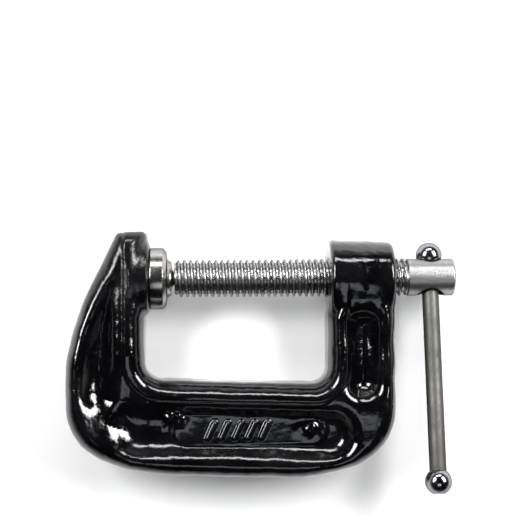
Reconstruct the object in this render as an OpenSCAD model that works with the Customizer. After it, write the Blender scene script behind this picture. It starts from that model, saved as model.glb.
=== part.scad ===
// C-clamp with a 25 mm opening: cast frame, rolled screw, swivel pad and sliding T-handle.
// Every module is drawn in clamp coordinates: the screw's axis is X, pointing at its head, with 0 on
// the anvil's face; Y points out of the throat, and Z is across the frame's thickness. place() then
// lays the clamp on its side, with the origin under the middle of the whole clamp's box.

/* [Jaws] */
// Greatest distance between the anvil and the pad
jaw_opening = 25; // [20:1:32]
// Distance from the screw's axis to the middle of the spine's inner edge
throat_depth = 16.7; // [15:0.1:20]
// How far the anvil's face stands out of its arm
anvil_proud = 1.2; // [0.8:0.1:2]
// Diameter of the anvil's flat face
anvil_face_d = 10; // [8:0.5:11]

/* [Frame casting] */
// Depth of the spine from its inner to its outer edge
spine_depth = 14; // [12.5:0.1:16]
// Width of the anvil arm where it meets the spine
anvil_arm_w = 11.95; // [11.5:0.05:13]
// Width of the screw arm
screw_arm_w = 10; // [9.5:0.1:10.3]
// Half the thickness of the casting's rims
rim_half = 5.4; // [4.8:0.1:5.8]
// Half the thickness of the web at the bottom of the recesses
web_half = 2.6; // [2:0.1:3.5]
// Outer radius of the threaded boss
boss_r = 6.2; // [6:0.1:6.8]
// How much smaller the boss's outer end is in radius
boss_draft = 0.5; // [0:0.1:0.8]
// Length of the threaded boss
boss_len = 10.3; // [9.5:0.1:11]

/* [Screw] */
// Nominal diameter of the thread
thread_d = 6; // [5.5:0.1:6.3]
// Distance that the screw moves in one turn
pitch = 1; // [0.8:0.1:1.25]
// Diameter of the drilled head
head_d = 5.95; // [5.8:0.05:6.4]
// Length of the drilled head
head_len = 7.5; // [6.5:0.1:9]
// Thread left between the boss and the head when the jaws are closed
spare_thread = 2.4; // [1:0.1:5]

/* [Swivel pad] */
// Diameter of the pad's face
pad_d = 9.8; // [8:0.1:10.5]
// Whole length of the pad along the screw
pad_len = 3.4; // [3.3:0.1:4]
// Thickness of the pad's cylindrical rim
pad_rim = 2.1; // [1.5:0.1:2.4]
// Diameter of the ball on the screw's tip
tip_ball_d = 3.6; // [3.2:0.1:3.6]

/* [T-handle] */
// Diameter of the sliding bar
bar_d = 2.65; // [2.2:0.05:2.8]
// Distance between the centres of the two ball ends
ball_span = 36; // [30:0.5:40]
// Diameter of a ball end
end_ball_d = 4.2; // [4:0.1:4.6]
// How far the bar leans out of the frame's plane with the jaws closed, in degrees
handle_lean = 11; // [0:1:12]

/* [Hidden] */
$fn = 96;
eps = 0.01;

// Running gaps between pieces that move
closed_gap = 0.05;
thread_gap = 0.06;
socket_gap = 0.05;
hole_gap = 0.18;
seat_gap = 0.04;

// Places along the screw's axis
arm_in = closed_gap + pad_len + jaw_opening + closed_gap;
boss_out = arm_in + boss_len;
head_in = boss_out + spare_thread;
head_out = head_in + head_len;
head_mid = (head_in + head_out) / 2;
pad_face = closed_gap;
pad_back = pad_face + pad_len;
tip_x = pad_back - 1.05;
thread_in = pad_back + 0.5;

// The frame's outline. The outer edge bulges at its corners, and the spine's edges run 1.7 degrees
// off the screw's axis, as the pattern's draft leaves them.
spine_slope = 0.03;
outline_left = -anvil_proud - anvil_arm_w;
arm_out = arm_in + screw_arm_w;
arm_top = 7.1;
tip_slope = 0.496;
tip_out = -5;
corner_slope = 0.294;
function inner_y(x) = -throat_depth - spine_slope * (x - arm_in / 2);
function outer_y(x) = inner_y(x) - spine_depth;
belly_y = arm_top - (tip_out - outline_left) / tip_slope;
left_corner_y = outer_y(-1.4) + (outline_left + 1.4) * -corner_slope;
right_bend = arm_out - 12.5;
right_corner_y = outer_y(right_bend) + (arm_out - right_bend) * 0.306;
FRAME_OUTLINE = [
    [tip_out, arm_top, 0.8],
    [outline_left, belly_y, 34],
    [outline_left, left_corner_y, 9.2],
    [-1.4, outer_y(-1.4), 40],
    [right_bend, outer_y(right_bend), 29],
    [arm_out, right_corner_y, 10.4],
    [arm_out, 0, 0],
    [arm_in, 0, 0],
    [arm_in, inner_y(arm_in), 2.8],
    [-anvil_proud, inner_y(-anvil_proud), 3.2],
    [-anvil_proud, arm_top + 0.2, 0.4],
];
// The recesses in both faces
ANVIL_ARM_RECESS = [
    [-5.4, 0.8, 0.5],
    [outline_left + 2.45, belly_y - 0.9, 18],
    [outline_left + 2.45, left_corner_y + 5.3, 3.1],
    [-5.2, left_corner_y + 6.4, 2.1],
];
SPINE_RECESS = [
    [-5.9, inner_y(-5.9) - 3, 2.5],
    [-5.9, outer_y(-5.9) + 2.6, 5],
    [arm_out - 6.1, outer_y(arm_out) + 2.4, 3.9],
    [arm_out - 6.1, inner_y(arm_out) - 3.3, 3.8],
];
SCREW_ARM_RECESS = [
    [arm_in + 2.4, -5, 2],
    [arm_in + 8, -5, 2],
    [arm_in + 8.1, -19.3, 2.7],
    [arm_in + 2.5, -19.3, 2.6],
];
panel_y = (inner_y(arm_in / 2) + outer_y(arm_in / 2)) / 2 - 0.2;
panel_half_h = 2.6;
panel_x = [6, 25.4];
panel_rise = 0.5;
bars_mid = 13.8;

// The bar passes through the middle of the head. Its seated ball lies in the countersink.
cross_hole_r = bar_d / 2 + hole_gap;
sink_r = 2.3;
sink_depth = 0.95;
sink_low = head_d / 2 - sink_depth;
sink_angle = atan((sink_r - cross_hole_r) / sink_depth);
end_ball_r = end_ball_d / 2;
seat_d = sink_low + (end_ball_r + seat_gap - cross_hole_r * cos(sink_angle)) / sin(sink_angle);
free_d = ball_span - seat_d;
spigot_r = 0.9;
spigot_len = 2;
ball_flat = 0.12;
ball_neck = sqrt(pow(end_ball_r, 2) - pow(bar_d / 2, 2));

// The whole clamp's box, so that place() can put the origin under its middle
box_left = outline_left;
box_right = head_out;
box_top = max(arm_top + 0.2, seat_d * cos(handle_lean) + end_ball_r);
box_bottom = -free_d * cos(handle_lean) - end_ball_r;

// Points of an arc from angle a to angle b about a centre
function arc(c, r, a, b, n) = [for (i = [0:n]) c + r * [cos(a + (b - a) * i / n), sin(a + (b - a) * i / n)]];
function turn(v) = atan2(v[1], v[0]);
function wrap(a) = a > 180 ? a - 360 : a < -180 ? a + 360 : a;
// The fillet of radius r at corner q between its neighbours p and s: one point where r is 0
function fillet(p, q, s, r) =
    let (u = (q - p) / norm(q - p), v = (s - q) / norm(s - q), bend = wrap(turn(v) - turn(u)))
    r == 0 ? [q] :
    let (side = bend > 0 ? 1 : -1, reach = r * tan(abs(bend) / 2), start = q - reach * u,
         c = start + side * r * [-u[1], u[0]], a = turn(start - c))
    arc(c, r, a, a + bend, max(2, ceil(abs(bend) * sqrt(r) / 20)));
// An outline from corners given as [x, y, fillet radius]
function rounded(v) = [for (i = [0:len(v) - 1])
    let (p = v[(i + len(v) - 1) % len(v)], q = v[i], s = v[(i + 1) % len(v)])
    each fillet([p[0], p[1]], [q[0], q[1]], [s[0], s[1]], q[2])];

module place() {
    translate([-(box_left + box_right) / 2, -(box_top + box_bottom) / 2, boss_r]) children();
}

// Turns a shape drawn along +Z so that it lies along +X
module along_x(x) {
    translate([x, 0, 0]) rotate([0, 90, 0]) children();
}

// Turns a shape drawn along +Z so that it lies along the handle's bar, towards its seated ball
module along_bar() {
    translate([head_mid, 0, 0]) rotate([-90 - handle_lean, 0, 0]) children();
}

module on_both_faces() {
    for (side = [0, 1]) mirror([0, 0, side]) children();
}

module recess(outline) {
    on_both_faces() translate([0, 0, web_half]) linear_extrude(height = 5) polygon(rounded(outline));
}

// A plain raised panel with slanted bars in the spine's recess
module spine_panel() {
    bars = 5;
    bar_step = 2.1;
    on_both_faces() translate([0, panel_y, 0]) {
        linear_extrude(height = web_half + panel_rise)
            polygon(rounded([for (p = [[0, 1], [0, -1], [1, -1], [1, 1]])
                [panel_x[p[0]] + (p[0] * 2 - 1) * panel_half_h, p[1] * panel_half_h, panel_half_h - 0.1]]));
        for (i = [0:bars - 1])
            translate([bars_mid + (i - (bars - 1) / 2) * bar_step, 0, 0])
                rotate([0, 0, -25]) translate([-0.35, -1.6, 0]) cube([0.7, 3.2, web_half + panel_rise + 0.3]);
    }
}

module anvil() {
    along_x(-anvil_proud - 0.5) cylinder(r = 5.2, h = 0.5 + eps);
    along_x(-anvil_proud) cylinder(r1 = 5.2, r2 = anvil_face_d / 2, h = anvil_proud);
}

module frame_casting() {
    bore_r = thread_d / 2 + thread_gap;
    color([0.03, 0.03, 0.035])
    difference() {
        union() {
            difference() {
                linear_extrude(height = 2 * rim_half, center = true) polygon(rounded(FRAME_OUTLINE));
                recess(ANVIL_ARM_RECESS);
                recess(SPINE_RECESS);
                recess(SCREW_ARM_RECESS);
            }
            spine_panel();
            along_x(arm_in) cylinder(r1 = boss_r, r2 = boss_r - boss_draft, h = boss_len);
            anvil();
        }
        along_x(arm_in - 1) cylinder(r = bore_r, h = boss_len + 2);
        along_x(arm_in - eps) cylinder(r1 = bore_r + 0.4, r2 = bore_r, h = 0.4);
        along_x(boss_out - 0.4 + eps) cylinder(r1 = bore_r, r2 = bore_r + 0.4, h = 0.4);
    }
}

// Radius against place along the thread: one V groove for each turn
function thread_profile(from, to) =
    let (crest = thread_d / 2, root = crest - 0.58 * pitch, turns = floor((to - from - 0.8) / pitch))
    concat([[0, from], [root, from], [crest, from + 0.6]],
           [for (i = [0:turns - 1]) each [
               [crest, from + 0.8 + i * pitch],
               [root, from + 0.8 + (i + 0.42) * pitch],
               [root, from + 0.8 + (i + 0.58) * pitch]]],
           [[crest, from + 0.8 + turns * pitch], [head_d / 2, to], [0, to]]);

// The hole for the bar, with a countersink at both ends
function cross_hole_profile() =
    let (mouth = sink_low + 2 * sink_depth, mouth_r = cross_hole_r + 2 * (sink_r - cross_hole_r))
    [[0, -mouth], [mouth_r, -mouth], [cross_hole_r, -sink_low],
     [cross_hole_r, sink_low], [mouth_r, mouth], [0, mouth]];

module clamp_screw() {
    neck_r = 1.1;
    chamfer = 0.35;
    color([0.75, 0.75, 0.76])
    difference() {
        union() {
            along_x(tip_x) sphere(r = tip_ball_d / 2);
            along_x(tip_x) cylinder(r = neck_r, h = thread_in - tip_x + 0.5);
            along_x(0) rotate_extrude() polygon(thread_profile(thread_in, head_in));
            along_x(head_in - eps) cylinder(r = head_d / 2, h = head_len - chamfer + eps);
            along_x(head_out - chamfer) cylinder(r1 = head_d / 2, r2 = head_d / 2 - chamfer, h = chamfer);
        }
        along_bar() rotate_extrude() polygon(cross_hole_profile());
    }
}

module swivel_pad() {
    pad_r = pad_d / 2;
    collar_r = 2.6;
    color([0.78, 0.77, 0.75])
    difference() {
        along_x(0) rotate_extrude() polygon([
            [0, pad_face], [pad_r - 0.2, pad_face], [pad_r, pad_face + 0.2], [pad_r, pad_face + pad_rim],
            [pad_r - 0.7, pad_face + pad_rim + 0.6], [collar_r + 0.4, pad_face + pad_rim + 0.7],
            [collar_r, pad_back], [0, pad_back]]);
        along_x(tip_x) sphere(r = tip_ball_d / 2 + socket_gap);
    }
}

module handle_bar() {
    color([0.42, 0.41, 0.39]) along_bar() {
        translate([0, 0, ball_neck - free_d]) cylinder(r = bar_d / 2, h = ball_span - 2 * ball_neck);
        translate([0, 0, seat_d - ball_neck - eps]) cylinder(r = spigot_r, h = spigot_len);
        translate([0, 0, ball_neck - free_d - spigot_len + eps]) cylinder(r = spigot_r, h = spigot_len);
    }
}

// A turned ball, drilled for the bar's spigot and flat where it meets the bar and at its far end
module end_ball() {
    color([0.72, 0.72, 0.74])
    difference() {
        intersection() {
            sphere(r = end_ball_r);
            translate([-3, -3, -ball_neck]) cube([6, 6, ball_neck + end_ball_r - ball_flat]);
        }
        translate([0, 0, -ball_neck - eps]) cylinder(r = spigot_r, h = spigot_len);
    }
}

module handle_ball_seated() {
    along_bar() translate([0, 0, seat_d]) end_ball();
}

module handle_ball_free() {
    along_bar() translate([0, 0, -free_d]) mirror([0, 0, 1]) end_ball();
}

place() frame_casting();
place() clamp_screw();
place() swivel_pad();
place() handle_bar();
place() handle_ball_seated();
place() handle_ball_free();
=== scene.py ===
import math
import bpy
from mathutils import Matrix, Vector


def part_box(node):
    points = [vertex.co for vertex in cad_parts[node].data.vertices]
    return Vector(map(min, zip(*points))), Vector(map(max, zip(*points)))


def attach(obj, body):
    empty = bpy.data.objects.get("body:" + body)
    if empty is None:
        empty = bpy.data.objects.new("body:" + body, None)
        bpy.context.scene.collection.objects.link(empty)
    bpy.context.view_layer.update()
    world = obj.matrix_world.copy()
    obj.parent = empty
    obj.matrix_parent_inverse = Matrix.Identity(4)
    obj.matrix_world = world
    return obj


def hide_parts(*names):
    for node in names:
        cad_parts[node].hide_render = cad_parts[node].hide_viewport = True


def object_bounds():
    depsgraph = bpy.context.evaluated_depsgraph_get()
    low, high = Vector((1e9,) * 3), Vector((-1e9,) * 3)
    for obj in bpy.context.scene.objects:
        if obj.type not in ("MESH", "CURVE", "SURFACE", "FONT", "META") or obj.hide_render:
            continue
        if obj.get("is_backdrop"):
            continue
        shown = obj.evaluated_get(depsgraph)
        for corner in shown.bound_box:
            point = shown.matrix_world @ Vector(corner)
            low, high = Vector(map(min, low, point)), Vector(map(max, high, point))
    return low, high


bl_info = {
    "name": "Small C-clamp",
    "version": (1, 0, 0),
    "blender": (4, 5, 0),
    "location": "3D View > Sidebar > C-clamp",
    "description": "Casting, screw, swivel pad and T-handle of a small C-clamp around its packed CAD model",
    "category": "Object",
}

import bmesh
import bpy
import numpy as np
from mathutils import Matrix, Vector

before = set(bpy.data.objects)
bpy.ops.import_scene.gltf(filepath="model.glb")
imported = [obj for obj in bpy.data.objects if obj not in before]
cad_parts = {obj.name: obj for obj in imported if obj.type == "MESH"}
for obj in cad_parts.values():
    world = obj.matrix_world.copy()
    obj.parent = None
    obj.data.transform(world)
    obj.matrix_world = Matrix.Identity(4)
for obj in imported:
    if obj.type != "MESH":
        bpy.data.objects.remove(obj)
CAD_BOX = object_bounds()

# The clamp's own coordinates are millimetres from the middle of the anvil's face: x runs along the
# screw towards its head, y out of the throat, and z across the casting. The CAD boxes place them.
MM = 0.001
SCREW_BOX = [np.array(corner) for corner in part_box("clamp_screw")]
PAD_BOX = [np.array(corner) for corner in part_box("swivel_pad")]
CASTING_BOX = [np.array(corner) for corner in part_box("frame_casting")]
CLOSED_GAP = 0.05
JAW_OPENING = 25
HANDLE_LEAN = math.radians(11)
SCREW_MIDDLE = (SCREW_BOX[0] + SCREW_BOX[1]) / 2
DATUM = np.array([PAD_BOX[0][0] - CLOSED_GAP * MM, SCREW_MIDDLE[1], SCREW_MIDDLE[2]])


def from_datum(place, axis):
    """Distance in millimetres of a place in the row frame from the anvil's face, along an axis."""
    return float((place - DATUM[axis]) / MM)


PAD_BACK = from_datum(PAD_BOX[1][0], 0)
ARM_IN = PAD_BACK + JAW_OPENING + CLOSED_GAP
BOSS_OUT = from_datum(CASTING_BOX[1][0], 0)
HEAD_OUT = from_datum(SCREW_BOX[1][0], 0)
OUTLINE_LEFT = from_datum(CASTING_BOX[0][0], 0)
ARM_TOP = from_datum(CASTING_BOX[1][1], 1) - 0.2
BOSS_RADIUS = -from_datum(CASTING_BOX[0][2], 2)
THREAD_RADIUS = (SCREW_BOX[1][1] - SCREW_BOX[0][1]) / 2 / MM
PAD_RADIUS = (PAD_BOX[1][1] - PAD_BOX[0][1]) / 2 / MM
BAR_AXIS = np.array([0.0, math.cos(HANDLE_LEAN), -math.sin(HANDLE_LEAN)])


# ---- Sizes and colours that a user would change -------------------------------------------------

def millimetres(name, description, default):
    """A length property whose default is given in millimetres."""
    return bpy.props.FloatProperty(
        name=name, description=description, default=default * MM, unit="LENGTH", precision=5)


def colour(name, description, default):
    """A linear RGB colour property."""
    return bpy.props.FloatVectorProperty(
        name=name, description=description, default=default, size=3, min=0, max=1, subtype="COLOR")


class CLAMP_PG_casting(bpy.types.PropertyGroup):
    """Sizes and enamel of the casting."""
    edge_round: millimetres("Edge rounding", "Radius that rounds the rims over to the side walls", 2.3)
    crest_blend: millimetres("Crest blend", "Width of the blend from a rim's crest into a recess", 1.6)
    cove_blend: millimetres("Cove blend", "Width of the blend from a recess's wall into the web", 2.0)
    web_half: millimetres("Half web", "Half the thickness of the web between the recesses", 2.6)
    waviness: millimetres("Waviness", "Height of the sand casting's long waves", 0.036)
    lumpiness: millimetres("Lumpiness", "Height of the enamel's short waves", 0.005)
    grid_step: millimetres("Grid step", "Size of the mesh's cells", 0.3)
    enamel: colour("Enamel", "Colour of the black enamel", (0.0012, 0.0012, 0.0016))
    bare_iron: colour("Worn edges", "Colour where the enamel is thin on the edges", (0.012, 0.011, 0.010))


class CLAMP_PG_screw(bpy.types.PropertyGroup):
    """Sizes and plating of the screw, pad and handle."""
    pitch: millimetres("Pitch", "Distance that the screw moves in one turn", 1.0)
    thread_depth: millimetres("Thread depth", "Height of the thread from root to crest", 0.58)
    plating: colour("Plating", "Colour of the plated screw", (0.50, 0.50, 0.495))
    pad_steel: colour("Pad", "Colour of the turned and plated pad", (0.48, 0.465, 0.45))
    bar_steel: colour("Bar", "Colour of the plain steel bar", (0.155, 0.152, 0.142))
    chrome: colour("Ball ends", "Colour of the chromed ball ends", (0.42, 0.42, 0.435))


class CLAMP_PG_stage(bpy.types.PropertyGroup):
    """Floor colour, camera height and lens."""
    floor: colour("Floor", "Colour of the pale floor", (0.86, 0.86, 0.865))
    camera_height: millimetres("Camera height", "Height of the camera over the screw's axis", 195.0)
    lens: bpy.props.FloatProperty(
        name="Lens", description="Focal length in millimetres", default=84.4, min=20, max=300)


# ---- Geometry: whole arrays of points in the clamp's coordinates --------------------------------

def to_mesh(name, points, faces, normals=None):
    """A mesh object from points in millimetres and an array of faces, smooth, with normals if given."""
    mesh = bpy.data.meshes.new(name)
    sides = faces.shape[1]
    mesh.vertices.add(len(points))
    mesh.vertices.foreach_set("co", (DATUM + np.asarray(points) * MM).astype(np.float32).ravel())
    mesh.loops.add(faces.size)
    mesh.loops.foreach_set("vertex_index", faces.astype(np.int32).ravel())
    mesh.polygons.add(len(faces))
    mesh.polygons.foreach_set("loop_start", np.arange(0, faces.size, sides, dtype=np.int32))
    mesh.update(calc_edges=True)
    mesh.validate()
    mesh.polygons.foreach_set("use_smooth", np.ones(len(mesh.polygons), dtype=bool))
    if normals is not None:
        mesh.normals_split_custom_set_from_vertices(normals.astype(np.float32))
    piece = bpy.data.objects.new(name, mesh)
    bpy.context.scene.collection.objects.link(piece)
    return piece


def smooth_max(a, b, width):
    """The greater of a and b, with a parabola of the given width rounding the crease between them."""
    overlap = np.maximum(width - np.abs(a - b), 0) / width
    return np.maximum(a, b) + overlap * overlap * width / 4


def smooth_min(a, b, width):
    """The lesser of a and b, with a parabola of the given width filling the crease between them."""
    return -smooth_max(-a, -b, width)


def rounded_pair(a, b, radius):
    """Distance from a corner where the walls a = 0 and b = 0 meet, rounded over by an arc."""
    a = a + radius
    b = b + radius
    outside = np.hypot(np.maximum(a, 0), np.maximum(b, 0))
    return np.minimum(np.maximum(a, b), 0) + outside - radius


class Outline:
    """A closed outline with round corners, given anticlockwise as [x, y, fillet radius]. Its edges
    are the straight stretches between the fillets, and the fillets are true arcs."""

    def __init__(self, corners):
        corners = np.array(corners, float)
        here = corners[:, :2]
        radius = corners[:, 2]
        arriving = here - np.roll(here, 1, axis=0)
        leaving = np.roll(here, -1, axis=0) - here
        arriving /= np.linalg.norm(arriving, axis=1)[:, None]
        leaving /= np.linalg.norm(leaving, axis=1)[:, None]
        cross = arriving[:, 0] * leaving[:, 1] - arriving[:, 1] * leaving[:, 0]
        bend = np.arctan2(cross, np.sum(arriving * leaving, axis=1))
        reach = radius * np.tan(np.abs(bend) / 2)
        self.start = here + reach[:, None] * leaving
        self.end = np.roll(here - reach[:, None] * arriving, -1, axis=0)
        self.side = np.sign(bend)
        left = np.stack([-arriving[:, 1], arriving[:, 0]], axis=1)
        self.centre = here - reach[:, None] * arriving + (self.side * radius)[:, None] * left
        self.radius = radius
        middle = here - self.centre
        self.towards = middle / np.linalg.norm(middle, axis=1)[:, None]
        self.half_span = np.cos(np.abs(bend) / 2)

    def distance(self, x, y):
        """Distance from the outline, less than 0 inside: that of the nearest straight stretch, which
        is less than 0 to the left of it, or of the nearest arc whose span faces the point."""
        x = x[:, None]
        y = y[:, None]
        along = self.end - self.start
        length = np.linalg.norm(along, axis=1)
        u = along / length[:, None]
        dx = x - self.start[:, 0]
        dy = y - self.start[:, 1]
        t = np.clip(dx * u[:, 0] + dy * u[:, 1], 0, length)
        off_x = dx - t * u[:, 0]
        off_y = dy - t * u[:, 1]
        flat = np.hypot(off_x, off_y)
        flat = np.where(off_x * u[:, 1] - off_y * u[:, 0] < 0, -flat, flat)
        cx = x - self.centre[:, 0]
        cy = y - self.centre[:, 1]
        out = np.hypot(cx, cy)
        facing = cx * self.towards[:, 0] + cy * self.towards[:, 1] >= out * self.half_span
        curved = np.where(facing, self.side * (out - self.radius), np.inf)
        both = np.concatenate([flat, curved], axis=1)
        nearest = np.argmin(np.abs(both), axis=1)
        return both[np.arange(len(both)), nearest]


def in_batches(field, points, size=60000):
    """The field's value at each point, worked out a batch at a time to save memory."""
    parts = [field(points[i:i + size]) for i in range(0, len(points), size)]
    return np.concatenate(parts)


def slope_of(field, points, reach=0.01):
    """The field's value and gradient at the points, from steps of the given reach along each axis."""
    value = in_batches(field, points)
    steps = [in_batches(field, points + reach * np.eye(3)[axis]) - value for axis in range(3)]
    return value, np.stack(steps, axis=1) / reach


def level_surface(name, field, xs, ys, zs, rounds=3):
    """A closed mesh where field(points) is 0, less than 0 being solid. Every cell of the grid that the
    surface crosses gets one corner, at the mean of the crossings on the cell's edges, and every grid
    edge that it crosses gets one quad round it. Newton steps then bring the corners onto the surface,
    and the field's gradient gives their normals."""
    lines = [np.asarray(xs, float), np.asarray(ys, float), np.asarray(zs, float)]
    grid = np.stack(np.meshgrid(*lines, indexing="ij"), axis=-1)
    value = in_batches(field, grid.reshape(-1, 3)).reshape(grid.shape[:3])
    solid = value < 0
    cells = tuple(n - 1 for n in solid.shape)
    offsets = np.array([(i, j, k) for i in (0, 1) for j in (0, 1) for k in (0, 1)])
    filled = sum(solid[i:i + cells[0], j:j + cells[1], k:k + cells[2]].astype(np.int8)
                 for i, j, k in offsets)
    crossed = np.argwhere((filled > 0) & (filled < 8))
    index = np.full(cells, -1, dtype=np.int64)
    index[tuple(crossed.T)] = np.arange(len(crossed))
    total = np.zeros((len(crossed), 3))
    count = np.zeros(len(crossed))
    for a in offsets:
        for axis in range(3):
            if a[axis]:
                continue
            low = crossed + a
            high = low + np.eye(3, dtype=int)[axis]
            v0 = value[tuple(low.T)]
            v1 = value[tuple(high.T)]
            cuts = (v0 < 0) != (v1 < 0)
            share = np.where(cuts, v0 / np.where(cuts, v0 - v1, 1), 0)[:, None]
            crossing = grid[tuple(low.T)] * (1 - share) + grid[tuple(high.T)] * share
            total += np.where(cuts[:, None], crossing, 0)
            count += cuts
    points = total / count[:, None]
    step = min(np.diff(line).min() for line in lines)
    for _ in range(rounds):
        here, slope = slope_of(field, points)
        move = -here / np.maximum(np.sum(slope * slope, axis=1), 0.25)
        points += slope * np.clip(move, -step, step)[:, None]
    slope = slope_of(field, points)[1]
    normals = slope / np.linalg.norm(slope, axis=1)[:, None]
    quads = []
    for axis in range(3):
        b, c = (axis + 1) % 3, (axis + 2) % 3
        low = [slice(None)] * 3
        high = [slice(None)] * 3
        low[axis] = slice(None, -1)
        high[axis] = slice(1, None)
        edges = np.argwhere(solid[tuple(low)] != solid[tuple(high)])
        edges = edges[(edges[:, b] > 0) & (edges[:, c] > 0)]
        leaving = solid[tuple(edges.T)]
        shift_b = np.eye(3, dtype=int)[b]
        shift_c = np.eye(3, dtype=int)[c]
        ring = [edges - shift_b - shift_c, edges - shift_c, edges, edges - shift_b]
        quad = np.stack([index[tuple(corner.T)] for corner in ring], axis=1)
        quads.append(np.where(leaving[:, None], quad, quad[:, ::-1]))
    return to_mesh(name, points, np.concatenate(quads), normals)


def closed_tube(name, rings, first_pole, last_pole):
    """A closed mesh of triangles from an array of rings of points, each joined to the next, with a fan
    of triangles round the pole at both ends."""
    count, sides = rings.shape[:2]
    points = np.concatenate([rings.reshape(-1, 3), [first_pole, last_pole]])
    i = np.arange(count - 1)[:, None] * sides
    j = np.arange(sides)[None, :]
    k = (j + 1) % sides
    body = np.stack([i + j, i + k, i + sides + k, i + sides + j], axis=-1).reshape(-1, 4)
    pole = count * sides
    last = (count - 1) * sides
    j = j[0]
    k = k[0]
    fans = np.concatenate([
        np.stack([np.full(sides, pole), k, j], axis=1),
        np.stack([np.full(sides, pole + 1), last + j, last + k], axis=1)])
    walls = np.concatenate([body[:, [0, 1, 2]], body[:, [0, 2, 3]]])
    return to_mesh(name, points, np.concatenate([walls, fans]))


def basis_along(axis):
    """Three unit vectors: the axis, and two square to it, right-handed."""
    axis = np.asarray(axis, float)
    axis = axis / np.linalg.norm(axis)
    side = np.cross(axis, [1.0, 0, 0] if abs(axis[0]) < 0.9 else [0, 1.0, 0])
    side /= np.linalg.norm(side)
    return axis, side, np.cross(axis, side)


def profile_with_arcs(corners, steps=6):
    """Points of an open profile given as [place, radius, fillet]: each fillet is an arc of that radius
    between its two straight stretches, and an end has none."""
    corners = np.array(corners, float)
    points = [corners[0, :2]]
    for before, here, after in zip(corners[:-2], corners[1:-1], corners[2:]):
        a = here[:2] - before[:2]
        b = after[:2] - here[:2]
        a /= np.linalg.norm(a)
        b /= np.linalg.norm(b)
        bend = math.atan2(a[0] * b[1] - a[1] * b[0], float(a @ b))
        if here[2] == 0 or abs(bend) < 1e-6:
            points.append(here[:2])
            continue
        reach = here[2] * math.tan(abs(bend) / 2)
        side = math.copysign(1, bend)
        centre = here[:2] - reach * a + side * here[2] * np.array([-a[1], a[0]])
        spoke = here[:2] - reach * a - centre
        turn = np.linspace(0, bend, steps + 1)
        points += list(np.stack([
            centre[0] + spoke[0] * np.cos(turn) - spoke[1] * np.sin(turn),
            centre[1] + spoke[0] * np.sin(turn) + spoke[1] * np.cos(turn)], axis=1))
    points.append(corners[-1, :2])
    return np.array(points)


def turned(name, profile, origin, axis, sides):
    """A turned piece: the profile's [place along the axis, radius] pairs carried round the axis. Its
    first and last radius are 0, and its places run forwards."""
    axis, side, other = basis_along(axis)
    angle = np.linspace(0, 2 * math.pi, sides, endpoint=False)
    spoke = np.cos(angle)[:, None] * side + np.sin(angle)[:, None] * other
    place = profile[1:-1, 0]
    radius = profile[1:-1, 1]
    rings = origin + place[:, None, None] * axis + radius[:, None, None] * spoke
    return closed_tube(name, rings, origin + profile[0, 0] * axis, origin + profile[-1, 0] * axis)


def crisp(piece, degrees=32):
    """Marks the edges that bend more than the angle as sharp, so that turned faces stay crisp."""
    shell = bmesh.new()
    shell.from_mesh(piece.data)
    limit = math.radians(degrees)
    for edge in shell.edges:
        edge.smooth = edge.calc_face_angle(0) < limit
    shell.to_mesh(piece.data)
    shell.free()


# ---- The casting ---------------------------------------------------------------------------------

ANVIL_PROUD = 1.2
ANVIL_STEP = -0.75
ANVIL_RADIUS = 5.5
ANVIL_FACE_RADIUS = 5.2
ANVIL_SPREAD = 0.75
ANVIL_DEPTH = 3
THROAT_DEPTH = 16.7
SPINE_DEPTH = 14
SPINE_SLOPE = 0.03
RIM_HALF = 5.4
ARM_OUT = ARM_IN + 10
BOSS_TAPER = 0.05
BOSS_ROUND = 0.8
BORE_RADIUS = THREAD_RADIUS + 0.06
FILLET = 0.9


def inner_y(x):
    """Height of the spine's inner edge, which slopes a little."""
    return -THROAT_DEPTH - SPINE_SLOPE * (x - ARM_IN / 2)


def outer_y(x):
    """Height of the spine's outer edge."""
    return inner_y(x) - SPINE_DEPTH


# Corners of the outlines, which are [x, y, fillet radius]
TIP = [-5, ARM_TOP]
BELLY = [OUTLINE_LEFT, ARM_TOP - (TIP[0] - OUTLINE_LEFT) / 0.496, 34]
LEFT_BEND = [-1.4, outer_y(-1.4), 40]
LEFT_CORNER = [OUTLINE_LEFT, LEFT_BEND[1] - (OUTLINE_LEFT - LEFT_BEND[0]) * 0.294, 9.2]
RIGHT_BEND = [ARM_OUT - 12.5, outer_y(ARM_OUT - 12.5), 29]
RIGHT_CORNER = [ARM_OUT, RIGHT_BEND[1] + (ARM_OUT - RIGHT_BEND[0]) * 0.306]
THROAT_LEFT = [-ANVIL_PROUD, inner_y(-ANVIL_PROUD), 3.2]
THROAT_RIGHT = [ARM_IN, inner_y(ARM_IN), 2.8]
BOSS_STEP = ARM_IN + 0.45
CASTING_OUTLINE = Outline([
    [*TIP, 0.8], BELLY, LEFT_CORNER, LEFT_BEND, RIGHT_BEND, [*RIGHT_CORNER, 9.6], [ARM_OUT, 1, 0.5],
    [BOSS_STEP, 1, 0.5], [BOSS_STEP, -4.9, 0.8], [ARM_IN, -6.2, 1], THROAT_RIGHT, THROAT_LEFT,
    [-ANVIL_PROUD, -6.2, 0.9], [ANVIL_STEP, -5, 0.9], [ANVIL_STEP, ARM_TOP, 0.5]])
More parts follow.
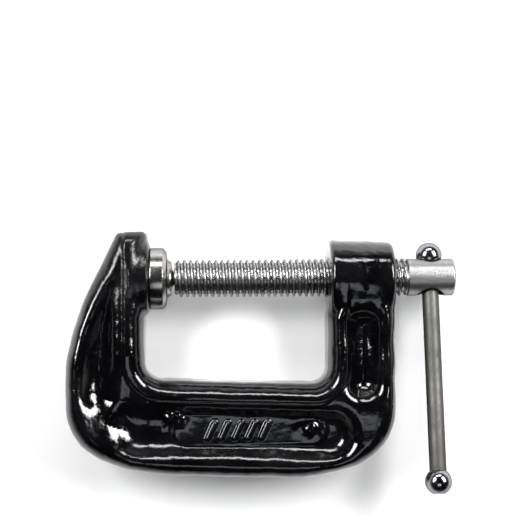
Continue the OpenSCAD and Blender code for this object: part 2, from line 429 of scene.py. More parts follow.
# The outer walls alone and the throat alone, open far above the arms
OUTER = Outline([
    [TIP[0], ARM_TOP + 20, 1], [*TIP, 1], BELLY, LEFT_CORNER, LEFT_BEND, RIGHT_BEND,
    [*RIGHT_CORNER, 10.4], [ARM_OUT, ARM_TOP + 20, 1]])
THROAT = Outline([[-ANVIL_PROUD, 30, 1], THROAT_LEFT, THROAT_RIGHT, [ARM_IN, 30, 1]])
RECESSES = [
    Outline([[-5.4, 0.8, 0.5], [OUTLINE_LEFT + 2.45, BELLY[1] - 0.9, 18],
             [OUTLINE_LEFT + 2.45, LEFT_CORNER[1] + 5.3, 3.1], [-5.2, LEFT_CORNER[1] + 6.4, 2.1]]),
    Outline([[-5.9, inner_y(-5.9) - 3, 2.5], [-5.9, outer_y(-5.9) + 2.6, 5],
             [ARM_OUT - 6.1, outer_y(ARM_OUT) + 2.4, 3.9], [ARM_OUT - 6.1, inner_y(ARM_OUT) - 3.3, 3.8]]),
    Outline([[ARM_IN + 2.4, -5, 2], [ARM_IN + 2.5, -19.3, 2.6],
             [ARM_IN + 8.1, -19.3, 2.7], [ARM_IN + 8, -5, 2]]),
]
RECESS_LEAN = 0.55
RECESS_INSET = 0.05

# How far the walls stand outside the outline, how much less on the left arm and more low on the
# spine, and how much they lean in with each millimetre of height
WALL_PROUD = 0.45
LESS_ON_LEFT = 0.3
MORE_LOW = 0.2
WALL_DRAFT = 0.035
LEFT_ROUNDING = 0.6

# The ridge round the throat, the groove on its outer side, and the bevel at the bottom left corner
RIDGE_WIDTH = 2.3
RIDGE_HEIGHT = 0.3
RIDGE_INNER = 3
GROOVE_AT = 2.9
GROOVE_DEPTH = 0.07
GROOVE_WIDTH = 0.3
BEVEL_FROM = 2.0
BEVEL_SLOPE = 0.40
BEVEL_WIDTH = 3.5

PANEL_X = (3.4, 28.0)
PANEL_Y = (inner_y(ARM_IN / 2) + outer_y(ARM_IN / 2)) / 2 - 0.2
PANEL_HALF = 2.6
PANEL_RISE = 0.6
BARS = 5
BAR_STEP = 2.1
BARS_FROM = 9.6
BAR_RISE = 0.45
BAR_HALF_LENGTH = 1.3
BAR_HALF_WIDTH = 0.42
BAR_LEAN = (math.sin(math.radians(25)), math.cos(math.radians(25)))

# Thick runs of enamel in the spine's recess: x, y, half length, half width and height
ENAMEL_RUNS = [(3.9, -22.0, 1.9, 1.2, 0.8), (24.9, -23.8, 1.5, 1.2, 0.5)]
RUN_LUMPS = 40


def cast_waves(points, height, shortest, longest, seed):
    """The uneven waves of a sand casting: a sum of sine waves in many directions, between the two
    lengths, with fixed phases. The longer a wave, the higher it is."""
    chance = np.random.default_rng(seed)
    waves = 14
    direction = chance.normal(size=(waves, 3))
    direction /= np.linalg.norm(direction, axis=1)[:, None]
    length = chance.uniform(shortest, longest, waves)
    phase = chance.uniform(0, 2 * math.pi, waves)
    angle = points @ (direction * (2 * math.pi / length)[:, None]).T + phase
    return height * (np.sin(angle) * (length / longest)).sum(axis=1) / math.sqrt(waves / 4)


def rim_top(x, y, from_throat):
    """Height of the rims above the casting's middle plane. They fall by RIDGE_HEIGHT in a smooth step
    where the ridge round the throat ends, by (RIDGE_INNER - d)^2 / 12 at a distance d nearer the
    throat, and by BEVEL_SLOPE for each millimetre in from the bottom left corner's outer wall."""
    fall = np.clip((from_throat - RIDGE_WIDTH) / 1.0, 0, 1)
    top = RIM_HALF - RIDGE_HEIGHT * fall * fall * (3 - 2 * fall)
    top = top - np.maximum(RIDGE_INNER - from_throat, 0) ** 2 / 12
    corner = np.clip((6 - x) / 9, 0, 1) * np.clip((-12 - y) / 7, 0, 1)
    return top - BEVEL_SLOPE * corner * np.clip(-OUTER.distance(x, y) - BEVEL_FROM, 0, BEVEL_WIDTH)


def with_panel(solid, x, y, up, web):
    """The solid joined with the raised panel, a stadium, and the round-ended slanted bars on it. Both
    have sloping walls and rounded tops."""
    run = np.clip(x, PANEL_X[0] + PANEL_HALF, PANEL_X[1] - PANEL_HALF)
    off_y = y - PANEL_Y
    panel = np.hypot(x - run, off_y) - PANEL_HALF
    solid = smooth_min(solid, rounded_pair(panel + 0.4 * (up - web), up - web - PANEL_RISE, 0.35), 0.5)
    base = web + PANEL_RISE
    for bar in range(BARS):
        off_x = x - BARS_FROM - bar * BAR_STEP
        along = off_x * BAR_LEAN[0] + off_y * BAR_LEAN[1]
        across = off_x * BAR_LEAN[1] - off_y * BAR_LEAN[0]
        past = along - np.clip(along, -BAR_HALF_LENGTH, BAR_HALF_LENGTH)
        stroke = np.hypot(across, past) - BAR_HALF_WIDTH + 0.3 * (up - base)
        solid = smooth_min(solid, rounded_pair(stroke, up - base - BAR_RISE, 0.25), 0.3)
    return solid


def casting_field(sizes):
    """The casting's field. The outline is carried across the thickness with draft and rounded rims;
    recesses with sloping, blended walls are taken from both faces; a groove exp(-(d / width)^2) runs
    beside the ridge round the throat; the panel, the tapered boss and the anvil's cone are joined on
    with fillets; the cast waves and the runs of enamel are added; and the screw's bore is cut."""
    edge = sizes.edge_round / MM
    crest = sizes.crest_blend / MM
    cove = sizes.cove_blend / MM
    web = sizes.web_half / MM
    waves = sizes.waviness / MM
    lumps = sizes.lumpiness / MM

    def field(points):
        x, y, z = points.T
        up = np.abs(z)
        left = np.clip((-3 - x) / 4, 0, 1)
        low = np.clip((-20 - y) / 5, 0, 1) * np.clip(x / 8, 0, 1)
        proud = WALL_PROUD - LESS_ON_LEFT * left + MORE_LOW * low
        wall = CASTING_OUTLINE.distance(x, y) - proud + WALL_DRAFT * up
        from_throat = THROAT.distance(x, y)
        solid = rounded_pair(wall, up - rim_top(x, y, from_throat), edge + LEFT_ROUNDING * left)
        for outline in RECESSES:
            side = outline.distance(x, y) + RECESS_INSET + RECESS_LEAN * (RIM_HALF - up)
            side = side / math.hypot(RECESS_LEAN, 1)
            solid = smooth_max(solid, -smooth_max(side, web - up, cove), crest)
        solid = solid + GROOVE_DEPTH * np.exp(-((from_throat - GROOVE_AT) / GROOVE_WIDTH) ** 2)
        solid = with_panel(solid, x, y, up, web)
        from_axis = np.hypot(y, z)
        middle = (ARM_IN + BOSS_OUT) / 2
        boss_side = from_axis - (BOSS_RADIUS - BOSS_TAPER * (x - ARM_IN))
        boss = rounded_pair(boss_side, np.abs(x - middle) - (BOSS_OUT - ARM_IN) / 2, BOSS_ROUND)
        solid = smooth_min(solid, boss, FILLET)
        cone = (from_axis - ANVIL_FACE_RADIUS + ANVIL_SPREAD * x) / math.hypot(ANVIL_SPREAD, 1)
        anvil = rounded_pair(np.maximum(cone, from_axis - ANVIL_RADIUS), x, 0.3)
        solid = smooth_min(solid, np.maximum(anvil, -x - ANVIL_DEPTH), FILLET)
        machined = np.clip((x + 0.35) / 0.3, 0, 1) * (x < 2)
        runs = sum(height * np.exp(-((x - at_x) / long) ** 2 - ((y - at_y) / wide) ** 2)
                   for at_x, at_y, long, wide, height in ENAMEL_RUNS)
        rough = cast_waves(points, waves, 2.6, 8.0, 7)
        rough += cast_waves(points, lumps, 1.1, 2.4, 11) * (1 + RUN_LUMPS * runs) - runs
        solid = solid + rough * (1 - machined)
        bore = np.maximum(from_axis - BORE_RADIUS, ARM_IN - 3 - x)
        return smooth_max(solid, -bore, 0.35)

    return field


def finer_lines(low, high, step, fine):
    """Grid lines from low to high about a step apart, and half that inside the fine stretches."""
    lines = [low]
    while lines[-1] < high:
        inside = any(a <= lines[-1] < b for a, b in fine)
        lines.append(lines[-1] + (step / 2 if inside else step))
    return np.array(lines)


class CLAMP_OT_casting(bpy.types.Operator):
    """Make the cast frame with its recesses, boss and anvil."""
    bl_idname = "clamp.casting"
    bl_label = "Casting"

    def execute(self, context):
        sizes = context.scene.clamp_casting
        step = sizes.grid_step / MM * 1
        jaws = [(-1.6, 0.3), (ARM_IN - 0.3, ARM_IN + 0.6)]
        xs = finer_lines(OUTLINE_LEFT - 0.7, BOSS_OUT + 0.7, step, jaws)
        ys = finer_lines(outer_y(ARM_OUT) - 0.8, ARM_TOP + 0.9, step, [])
        flat = np.array([0.35, 1.1, 1.8, 2.3])
        upper = np.concatenate([flat, finer_lines(2.6, BOSS_RADIUS + 0.5, step, [])])
        zs = np.concatenate([-upper[::-1], upper])
        piece = level_surface("casting", casting_field(sizes), xs, ys, zs)
        piece.data.materials.append(enamel_material(sizes))
        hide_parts("frame_casting")
        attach(piece, "frame")
        return {"FINISHED"}


# ---- The screw -----------------------------------------------------------------------------------

HEAD_LENGTH = 7.5
HEAD_IN = HEAD_OUT - HEAD_LENGTH
HEAD_MID = (HEAD_IN + HEAD_OUT) / 2
HEAD_RADIUS = 2.975
HEAD_CHAMFER = 0.35
TIP_X = PAD_BACK - 1.05
TIP_RADIUS = 1.8
NECK_RADIUS = 1.1
THREAD_IN = PAD_BACK + 0.5
BAR_RADIUS = 1.325
HOLE_RADIUS = BAR_RADIUS + 0.18
SINK_RADIUS = 2.3
SINK_DEPTH = 0.95
END_BALL_RADIUS = 2.1
SEAT_GAP = 0.04
BALL_SPAN = 36
SPIGOT_RADIUS = 0.9
SPIGOT_LENGTH = 1.9
SIDES = 96


def thread_radius(x, angle, crest, depth, pitch):
    """Radius of the right-hand thread at a place x and an angle about +X: flat crests an eighth of
    the pitch wide, flanks, and rounded roots, running round as x grows by one pitch a turn."""
    phase = np.mod(x / pitch - angle / (2 * math.pi), 1)
    fall = np.clip((np.abs(phase - 0.5) - 0.0625) / 0.34, 0, 1)
    fall = fall - 0.09 * np.sin(2 * math.pi * fall)
    begins = np.clip((x - THREAD_IN) / 0.7, 0, 1)
    ends = np.clip((HEAD_IN - 0.1 - x) / 1.1, 0, 1)
    cut = crest - depth * fall * np.clip(ends * 3, 0, 1)
    return np.minimum(cut, crest - depth * (1 - begins))


class CLAMP_OT_screw(bpy.types.Operator):
    """Make the screw: ball tip, right-hand thread and drilled head."""
    bl_idname = "clamp.screw"
    bl_label = "Screw"

    def execute(self, context):
        sizes = context.scene.clamp_screw
        pitch = sizes.pitch / MM
        depth = sizes.thread_depth / MM
        ball_turn = np.linspace(0, math.pi - math.asin(NECK_RADIUS / TIP_RADIUS), 14)[1:]
        tip = TIP_RADIUS * np.stack([-np.cos(ball_turn), np.sin(ball_turn)], axis=1) + [TIP_X, 0]
        step = 0.0625
        thread_x = np.arange(THREAD_IN, HEAD_IN - 0.35, step)
        angle = np.linspace(0, 2 * math.pi, SIDES, endpoint=False)
        inside_head = HEAD_IN + 0.4
        place = np.concatenate([tip[:, 0], [THREAD_IN - 0.02], thread_x, [inside_head]])
        plain = np.repeat(np.concatenate([tip[:, 1], [NECK_RADIUS]])[:, None], SIDES, axis=1)
        thread = thread_radius(thread_x[:, None], angle[None, :], THREAD_RADIUS, depth, pitch)
        around = np.concatenate([plain, thread, np.full((1, SIDES), 2.6)])
        rings = np.stack(np.broadcast_arrays(
            place[:, None], around * np.cos(angle), around * np.sin(angle)), axis=-1)
        ends = np.array([[TIP_X - TIP_RADIUS, 0, 0], [inside_head, 0, 0]])
        shank = closed_tube("screw_shank", rings, *ends)
        crisp(shank, 50)

        spread = (SINK_RADIUS - HOLE_RADIUS) / SINK_DEPTH

        def head_field(points):
            """A cylinder with rounded ends, less the crosswise hole and the cones of its countersinks."""
            x, y, z = points.T
            solid = rounded_pair(np.hypot(y, z) - HEAD_RADIUS, x - HEAD_OUT, HEAD_CHAMFER)
            solid = rounded_pair(solid, HEAD_IN - x, 0.15)
            along = np.abs(y * BAR_AXIS[1] + z * BAR_AXIS[2])
            across = np.hypot(x - HEAD_MID, y * BAR_AXIS[2] - z * BAR_AXIS[1]) - HOLE_RADIUS
            sink = (across - spread * (along - HEAD_RADIUS + SINK_DEPTH)) / math.hypot(spread, 1)
            return smooth_max(solid, -np.minimum(across, sink), 0.16)

        cell = 0.13
        span = np.arange(-HEAD_RADIUS - 0.2, HEAD_RADIUS + 0.2 + cell, cell)
        along_head = np.arange(HEAD_IN - 0.2, HEAD_OUT + 0.2 + cell, cell)
        head = level_surface("screw_head", head_field, along_head, span, span)
        shank.data.materials.append(thread_material(sizes))
        head.data.materials.append(head_material(sizes))
        for piece in (shank, head):
            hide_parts("clamp_screw")
            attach(piece, "screw")
        return {"FINISHED"}


# ---- The pad and the handle ----------------------------------------------------------------------

class CLAMP_OT_pad(bpy.types.Operator):
    """Make the swivel pad, with a rolled collar round the screw's ball."""
    bl_idname = "clamp.pad"
    bl_label = "Swivel pad"

    def execute(self, context):
        sizes = context.scene.clamp_screw
        face = CLOSED_GAP
        outer = profile_with_arcs([
            [face, 0, 0], [face, PAD_RADIUS, 0.22], [face + 2.1, PAD_RADIUS, 0.18],
            [face + 2.62, PAD_RADIUS - 0.62, 0.3], [face + 2.75, 3.1, 0.25], [PAD_BACK - 0.25, 2.72, 0.1],
            [PAD_BACK, 2.6, 0.12], [PAD_BACK, 1.75, 0.1]], 5)
        socket = 1.85
        start = math.acos((PAD_BACK - 0.1 - TIP_X) / socket)
        turn = np.linspace(start, math.pi, 16)
        inner = np.stack([TIP_X + socket * np.cos(turn), socket * np.sin(turn)], axis=1)
        pad = turned("pad", np.concatenate([outer, inner]), np.zeros(3), [1, 0, 0], 128)
        crisp(pad, 38)
        pad.data.materials.append(pad_material(sizes))
        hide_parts("swivel_pad")
        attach(pad, "pad")
        return {"FINISHED"}


def seat_distance():
    """Distance from the screw's axis to a ball that lies in the head's countersink."""
    low = HEAD_RADIUS - SINK_DEPTH
    angle = math.atan((SINK_RADIUS - HOLE_RADIUS) / SINK_DEPTH)
    return low + (END_BALL_RADIUS + SEAT_GAP - HOLE_RADIUS * math.cos(angle)) / math.sin(angle)


class CLAMP_OT_handle(bpy.types.Operator):
    """Make the sliding bar and its two ball ends."""
    bl_idname = "clamp.handle"
    bl_label = "T-handle"

    def execute(self, context):
        sizes = context.scene.clamp_screw
        middle = np.array([HEAD_MID, 0, 0])
        seated = seat_distance()
        free = BALL_SPAN - seated
        neck = math.sqrt(END_BALL_RADIUS ** 2 - BAR_RADIUS ** 2)
        low = -free + neck
        high = seated - neck
        low_tip = low - SPIGOT_LENGTH
        high_tip = high + SPIGOT_LENGTH
        start = [[low_tip, 0, 0], [low_tip, SPIGOT_RADIUS, 0.15], [low, SPIGOT_RADIUS, 0],
                 [low, BAR_RADIUS, 0.08]]
        stretch = [[place, BAR_RADIUS, 0] for place in np.linspace(low, high, 40)[1:-1]]
        end = [[high, BAR_RADIUS, 0.08], [high, SPIGOT_RADIUS, 0], [high_tip, SPIGOT_RADIUS, 0.15],
               [high_tip, 0, 0]]
        bar = turned("handle_bar_drawn", profile_with_arcs(start + stretch + end, 4), middle, BAR_AXIS, 72)
        crisp(bar, 40)
        bar.data.materials.append(bar_material(sizes))
        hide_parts("handle_bar")
        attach(bar, "handle")
        chrome = chrome_material(sizes)
        first = math.pi - math.asin(BAR_RADIUS / END_BALL_RADIUS)
        depth = SPIGOT_LENGTH - neck
        bored = np.array([[depth, 0], [depth, SPIGOT_RADIUS], [-neck, SPIGOT_RADIUS]])
        balls = (("ball_seated", "handle_ball_seated", seated, 1.0, 0.12),
                 ("ball_free", "handle_ball_free", -free, -1.0, 0.2))
        for name, node, place, way, shaved in balls:
            flat = END_BALL_RADIUS - shaved
            turn = np.linspace(first, math.acos(flat / END_BALL_RADIUS), 48)
            shell = END_BALL_RADIUS * np.stack([np.cos(turn), np.sin(turn)], axis=1)
            profile = np.concatenate([bored, shell, [[flat, 0]]])
            ball = turned(name, profile, middle + place * BAR_AXIS, way * BAR_AXIS, SIDES)
            crisp(ball, 25)
            ball.data.materials.append(chrome)
            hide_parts(node)
            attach(ball, "handle")
        return {"FINISHED"}


# ---- Materials -----------------------------------------------------------------------------------

class Nodes:
    """Adds and links a node tree's nodes in few words."""

    def __init__(self, tree):
        self.tree = tree

    def add(self, kind, values=(), **settings):
        """A node with its settings, and values for its inputs: numbers stay, and sockets are linked."""
        node = self.tree.nodes.new(kind)
        for key, value in settings.items():
            setattr(node, key, value)
        for key, value in dict(values).items():
            self.feed(node.inputs[key], value)
        return node

    def feed(self, socket, value):
        """Links a socket to the input, or sets the input's own value."""
        if isinstance(value, bpy.types.NodeSocket):
            self.tree.links.new(value, socket)
        else:
            socket.default_value = value

    def maths(self, operation, *values):
        """The result of a Math node."""
        return self.add("ShaderNodeMath", enumerate(values), operation=operation).outputs[0]

    def vectors(self, operation, *values):
        """A Vector Math node."""
        return self.add("ShaderNodeVectorMath", enumerate(values), operation=operation)

    def between(self, value, low, high, to_low=0.0, to_high=1.0):
        """A smooth step from to_low to to_high as value runs from low to high."""
        spread = {"Value": value, "From Min": low, "From Max": high, "To Min": to_low, "To Max": to_high}
        return self.add("ShaderNodeMapRange", spread, interpolation_type="SMOOTHSTEP").outputs[0]

    def mixed(self, factor, a, b):
        """Colour a changing to colour b with the factor."""
        node = self.tree.nodes.new("ShaderNodeMix")
        node.data_type = "RGBA"
        self.feed(node.inputs[0], factor)
        self.feed(node.inputs[6], a)
        self.feed(node.inputs[7], b)
        return node.outputs[2]

    def noise(self, vector, scale, detail=2.0, roughness=0.5):
        """The value of a noise texture."""
        values = {"Vector": vector, "Scale": scale, "Detail": detail, "Roughness": roughness}
        return self.add("ShaderNodeTexNoise", values).outputs["Fac"]


def new_group(name, inputs, outputs):
    """A shader node group with named inputs and outputs, and its Nodes helper and end nodes."""
    tree = bpy.data.node_groups.new(name, "ShaderNodeTree")
    for label, kind, default in inputs:
        socket = tree.interface.new_socket(name=label, in_out="INPUT", socket_type=kind)
        if default is not None:
            socket.default_value = default
    for label, kind in outputs:
        tree.interface.new_socket(name=label, in_out="OUTPUT", socket_type=kind)
    nodes = Nodes(tree)
    return tree, nodes, nodes.add("NodeGroupInput"), nodes.add("NodeGroupOutput")


FLOAT = "NodeSocketFloat"
VECTOR = "NodeSocketVector"


def edge_wear_group():
    """Wear mask: 1 on convex edges, which Pointiness tells from hollows, broken up by noise."""
    name = "Edge wear"
    if name in bpy.data.node_groups:
        return bpy.data.node_groups[name]
    tree, n, start, end = new_group(
        name, [("Vector", VECTOR, None), ("Scale", FLOAT, 900.0), ("Low", FLOAT, 0.52),
               ("High", FLOAT, 0.60)], [("Mask", FLOAT)])
    point = n.add("ShaderNodeNewGeometry").outputs["Pointiness"]
    patchy = n.noise(start.outputs["Vector"], start.outputs["Scale"], 5.0, 0.6)
    rough = n.maths("MULTIPLY_ADD", patchy, 0.12, n.maths("SUBTRACT", point, 0.06))
    n.feed(end.inputs["Mask"], n.between(rough, start.outputs["Low"], start.outputs["High"]))
    return tree


def grime_group():
    """Handling marks: a slow cloudy mask and fine specks."""
    name = "Handling marks"
    if name in bpy.data.node_groups:
        return bpy.data.node_groups[name]
    tree, n, start, end = new_group(
        name, [("Vector", VECTOR, None), ("Cloud scale", FLOAT, 150.0), ("Speck scale", FLOAT, 1400.0)],
        [("Clouds", FLOAT), ("Specks", FLOAT)])
    cloud = n.noise(start.outputs["Vector"], start.outputs["Cloud scale"], 4.0, 0.6)
    speck = n.noise(start.outputs["Vector"], start.outputs["Speck scale"], 3.0, 0.7)
    n.feed(end.inputs["Clouds"], n.between(cloud, 0.35, 0.65))
    n.feed(end.inputs["Specks"], n.between(speck, 0.58, 0.72))
    return tree


def place_group(n, tree, **values):
    """Places a node group in a material, with values for its inputs."""
    node = n.add("ShaderNodeGroup", node_tree=tree)
    for key, value in values.items():
        n.feed(node.inputs[key.replace("_", " ")], value)
    return node


def new_material(name):
    """A material with nodes, its Principled shader, and the object's own coordinates."""
    material = bpy.data.materials.new(name)
    material.use_nodes = True
    shader = material.node_tree.nodes["Principled BSDF"]
    n = Nodes(material.node_tree)
    place = n.add("ShaderNodeTexCoord").outputs["Object"]
    return material, shader, n, place


def bumped(n, height, strength, distance):
    """The normal of a bump of the height."""
    bump = n.add("ShaderNodeBump", {"Strength": strength, "Distance": distance, "Height": height})
    return bump.outputs["Normal"]


def thin_enamel(n, place):
    """A mask of 0 to 1 for the tip of the fixed arm, where the enamel is thin and dull."""
    part = n.add("ShaderNodeSeparateXYZ", {"Vector": place}).outputs
    high = n.between(part["Y"], DATUM[1] - 6.5 * MM, DATUM[1] - 1 * MM)
    return n.maths("MULTIPLY", high, n.between(part["X"], DATUM[0] + 1 * MM, DATUM[0] + 3 * MM, 1.0, 0.0))


def enamel_material(sizes):
    """Black gloss enamel, thick over a sand casting: pebbly skin, dust, thin edges and a dull tip."""
    material, shader, n, place = new_material("black_enamel")
    edges = place_group(n, edge_wear_group(), Vector=place, Scale=1100.0, Low=0.56, High=0.66)
    wear = edges.outputs["Mask"]
    marks = place_group(n, grime_group(), Vector=place, Cloud_scale=160.0, Speck_scale=1500.0)
    enamel = (*sizes.enamel, 1)
    dusty = tuple(2.5 * part for part in sizes.enamel) + (1,)
    base = n.mixed(marks.outputs["Clouds"], enamel, dusty)
    base = n.mixed(n.maths("MULTIPLY", wear, 0.5), base, (*sizes.bare_iron, 1))
    n.feed(shader.inputs["Base Color"], base)
    shine = n.maths("MULTIPLY_ADD", marks.outputs["Clouds"], 0.06, 0.10)
    shine = n.maths("MULTIPLY_ADD", marks.outputs["Specks"], 0.12, shine)
    thin = thin_enamel(n, place)
    shine = n.maths("MULTIPLY_ADD", thin, 0.13, shine)
    n.feed(shader.inputs["Roughness"], n.maths("MULTIPLY_ADD", wear, 0.15, shine))
    n.feed(shader.inputs["Coat Weight"], n.maths("MULTIPLY_ADD", thin, -0.5, 0.55))
    pebbles = n.noise(place, 620.0, 2.0, 0.5)
    grit = n.noise(place, 1700.0, 3.0, 0.6)
    skin = n.maths("MULTIPLY_ADD", grit, 0.25, pebbles)
    n.feed(shader.inputs["Normal"], bumped(n, skin, 0.5, 0.00018))
    shader.inputs["Specular IOR Level"].default_value = 0.45
    shader.inputs["Coat Roughness"].default_value = 0.05
    return material


def steel_shader(name, tint, rough, bump_height, direction, fine=2600.0, painted_shade=None):
    """Metal with marks that run round or along the piece: noise on coordinates that are stretched by
    the direction's scale, in the colour, the roughness and the bump. Specks of tarnish are darker,
    and the last argument, a function of (nodes, place), gives a mask of 0 to 1 for a part where shade is
    painted as a dark colour."""
    material, shader, n, place = new_material(name)
    marks = place_group(n, grime_group(), Vector=place, Cloud_scale=260.0, Speck_scale=2100.0)
    stretched = n.add("ShaderNodeMapping", {"Vector": place, "Scale": direction}).outputs[0]
    lines = n.noise(stretched, fine, 3.0, 0.6)
    dark = tuple(0.5 * part for part in tint) + (1,)
    shade = n.maths("MULTIPLY_ADD", marks.outputs["Clouds"], 0.35, n.maths("MULTIPLY", lines, 0.35))
    shade = n.maths("MULTIPLY_ADD", marks.outputs["Specks"], 0.45, shade)
    metal = n.mixed(shade, (*tint, 1), dark)
    # Painted shade: where the mask is 1, the metal's colour is made near black.
    if painted_shade:
        metal = n.mixed(painted_shade(n, place), metal, (0.03, 0.029, 0.027, 1))
    n.feed(shader.inputs["Base Color"], metal)
    uneven = n.maths("MULTIPLY_ADD", lines, 0.14, rough)
    uneven = n.maths("MULTIPLY_ADD", marks.outputs["Clouds"], 0.08, uneven)
    n.feed(shader.inputs["Roughness"], n.maths("MULTIPLY_ADD", marks.outputs["Specks"], 0.12, uneven))
    shader.inputs["Metallic"].default_value = 1.0
    shader.inputs["Specular Tint"].default_value = (0.3, 0.3, 0.31, 1)
    n.feed(shader.inputs["Normal"], bumped(n, lines, 0.35, bump_height))
    return material


def thread_material(sizes):
    """Bright plating over a rolled thread: faint rings round the axis."""
    return steel_shader("plated_thread", sizes.plating, 0.16, 0.00004, (4.0, 0.6, 0.6))


def head_material(sizes):
    """Bright plating over a fine grain, with shade painted dark in the crosswise hole and its countersinks.
    """
    def shade_in_hole(n, place):
        """A mask of 0 to 1 for the hole, where shade is painted dark: the distance from the bar's axis,
        |(p - head's middle) x bar's direction|, is under the countersink's radius."""
        centre = tuple(DATUM + np.array([HEAD_MID, 0, 0]) * MM)
        from_centre = n.vectors("SUBTRACT", place, centre).outputs[0]
        across = n.vectors("CROSS_PRODUCT", from_centre, tuple(BAR_AXIS)).outputs[0]
        length = n.vectors("LENGTH", across).outputs["Value"]
        return n.between(length, (SINK_RADIUS - 0.3) * MM, SINK_RADIUS * MM, 1.0, 0.0)

    # The head's hole and countersinks get painted shade from this mask.
    return steel_shader("plated_head", sizes.plating, 0.25, 0.00010, (1.6, 0.9, 0.9), 2200.0, shade_in_hole)


def pad_material(sizes):
    """Polished steel with fine turning rings."""
    return steel_shader("polished_pad", sizes.pad_steel, 0.08, 0.00002, (6.0, 0.25, 0.25))


def bar_material(sizes):
    """Plain drawn steel, dull, with lines along the bar."""
    return steel_shader("plain_steel_bar", sizes.bar_steel, 0.46, 0.00005, (3.0, 0.35, 2.0), 2000.0)


def chrome_material(sizes):
    """Mirror chrome with faint wear."""
    return steel_shader("chromed_ball", sizes.chrome, 0.03, 0.000006, (1.0, 1.0, 1.0))


# ---- The stage -----------------------------------------------------------------------------------

# Softboxes: name, place, width, height, power in watts and tint
STAGE_MIDDLE = (17, -12, 0)
SOFTBOXES = [
    ("left_softbox", (-185, 92, 215), 175, 85, 1.0, (1, 1, 1)),
    ("right_softbox", (220, 92, 215), 185, 85, 1.12, (1, 1, 1)),
    ("back_strip", (15, 225, 150), 200, 46, 0.34, (1, 1, 1)),
    ("front_softbox", (30, -120, 260), 130, 90, 0.05, (0.9, 0.95, 1.0)),
]
CAMERA_PLACE = (8.0, 0.5)
CAMERA_AIM = (17.6, 2.9, 0)
CAMERA_ROLL = math.radians(0.33)
FLOOR_REACH = 1.2
FLOOR_GLOW = 0.14


def to_world(place):
    """A place in the clamp's coordinates as a vector in metres."""
    return Vector(DATUM + np.array(place) * MM)


def softbox(name, place, width, height, power, tint):
    """A rectangular area light at a place in the clamp's coordinates, facing the stage's middle."""
    data = bpy.data.lights.new(name, "AREA")
    data.shape = "RECTANGLE"
    data.size = width * MM
    data.size_y = height * MM
    data.energy = power
    data.color = tint
    lamp = bpy.data.objects.new(name, data)
    lamp.location = to_world(place)
    lamp.rotation_euler = (to_world(STAGE_MIDDLE) - lamp.location).to_track_quat("-Z", "Y").to_euler()
    bpy.context.scene.collection.objects.link(lamp)


def studio_world():
    """A dark studio with a pale glow along the horizon, so that gloss shows only the softboxes."""
    world = bpy.data.worlds.new("studio")
    world.use_nodes = True
    n = Nodes(world.node_tree)
    direction = n.add("ShaderNodeTexCoord").outputs["Generated"]
    height = n.add("ShaderNodeSeparateXYZ", {"Vector": direction}).outputs["Z"]
    glow = n.between(height, 0.04, 0.26, 0.75, 0.006)
    background = world.node_tree.nodes["Background"]
    background.inputs["Color"].default_value = (1, 1, 1, 1)
    n.feed(background.inputs["Strength"], glow)
    return world


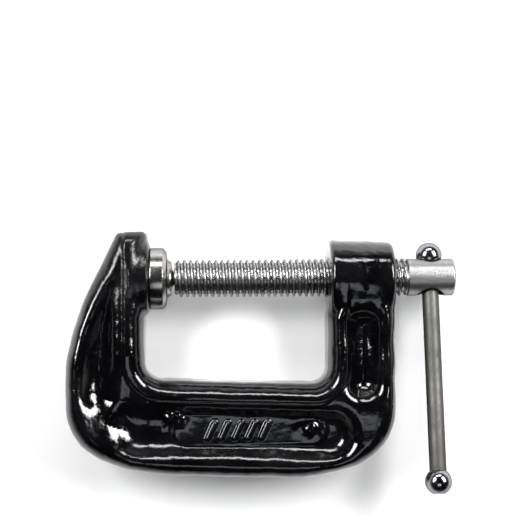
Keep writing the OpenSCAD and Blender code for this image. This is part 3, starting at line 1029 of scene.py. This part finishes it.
class CLAMP_OT_stage(bpy.types.Operator):
    """Make the pale floor, the studio light and the camera."""
    bl_idname = "clamp.stage"
    bl_label = "Stage"

    def execute(self, context):
        sizes = context.scene.clamp_stage
        mesh = bpy.data.meshes.new("floor")
        corners = [(-1, -1), (1, -1), (1, 1), (-1, 1)]
        mesh.from_pydata([(FLOOR_REACH * x, FLOOR_REACH * y, 0) for x, y in corners], [], [(0, 1, 2, 3)])
        floor = bpy.data.objects.new("floor", mesh)
        context.scene.collection.objects.link(floor)
        material, shader, n, place = new_material("pale_floor")
        paper = n.noise(place, 400.0, 3.0, 0.5)
        near = tuple(0.97 * part for part in sizes.floor) + (1,)
        n.feed(shader.inputs["Base Color"], n.mixed(paper, near, (*sizes.floor, 1)))
        shader.inputs["Roughness"].default_value = 0.9
        shader.inputs["Specular IOR Level"].default_value = 0.1
        shader.inputs["Emission Color"].default_value = (1, 1, 1, 1)
        shader.inputs["Emission Strength"].default_value = FLOOR_GLOW
        mesh.materials.append(material)
        floor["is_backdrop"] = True

        for settings in SOFTBOXES:
            softbox(*settings)
        context.scene.world = studio_world()

        data = bpy.data.cameras.new("camera")
        data.lens = sizes.lens
        data.sensor_width = 36
        camera = bpy.data.objects.new("camera", data)
        at = to_world((*CAMERA_PLACE, sizes.camera_height / MM))
        back = (at - to_world(CAMERA_AIM)).normalized()
        up = Vector((math.sin(CAMERA_ROLL), math.cos(CAMERA_ROLL), 0))
        right = up.cross(back).normalized()
        up = back.cross(right)
        camera.matrix_world = Matrix.Translation(at) @ Matrix((right, up, back)).transposed().to_4x4()
        context.scene.collection.objects.link(camera)
        context.scene.camera = camera
        context.scene.view_settings.view_transform = "Standard"
        return {"FINISHED"}


# ---- Add-on --------------------------------------------------------------------------------------

class CLAMP_PT_panel(bpy.types.Panel):
    """Lists the clamp's pieces."""
    bl_idname = "CLAMP_PT_panel"
    bl_label = "C-clamp"
    bl_space_type = "VIEW_3D"
    bl_region_type = "UI"
    bl_category = "C-clamp"

    def draw(self, context):
        for operator in OPERATORS:
            self.layout.operator(operator.bl_idname)


OPERATORS = (CLAMP_OT_casting, CLAMP_OT_screw, CLAMP_OT_pad, CLAMP_OT_handle, CLAMP_OT_stage)
GROUPS = {"clamp_casting": CLAMP_PG_casting, "clamp_screw": CLAMP_PG_screw, "clamp_stage": CLAMP_PG_stage}


def register():
    """Registers the classes and puts the property groups on the scene."""
    for group in GROUPS.values():
        bpy.utils.register_class(group)
    for name, group in GROUPS.items():
        setattr(bpy.types.Scene, name, bpy.props.PointerProperty(type=group))
    for operator in OPERATORS:
        bpy.utils.register_class(operator)
    bpy.utils.register_class(CLAMP_PT_panel)


def unregister():
    """Takes everything that register() made away again."""
    bpy.utils.unregister_class(CLAMP_PT_panel)
    for operator in reversed(OPERATORS):
        bpy.utils.unregister_class(operator)
    for name, group in GROUPS.items():
        delattr(bpy.types.Scene, name)
        bpy.utils.unregister_class(group)


def main():
    """Makes every piece and the stage."""
    register()
    for make in (bpy.ops.clamp.casting, bpy.ops.clamp.screw, bpy.ops.clamp.pad, bpy.ops.clamp.handle,
                 bpy.ops.clamp.stage):
        make()
    boxes = {"cad": CAD_BOX, "visual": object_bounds()}
    plain = {name: [[float(part) for part in corner] for corner in box] for name, box in boxes.items()}


if __name__ == "__main__":
    main()
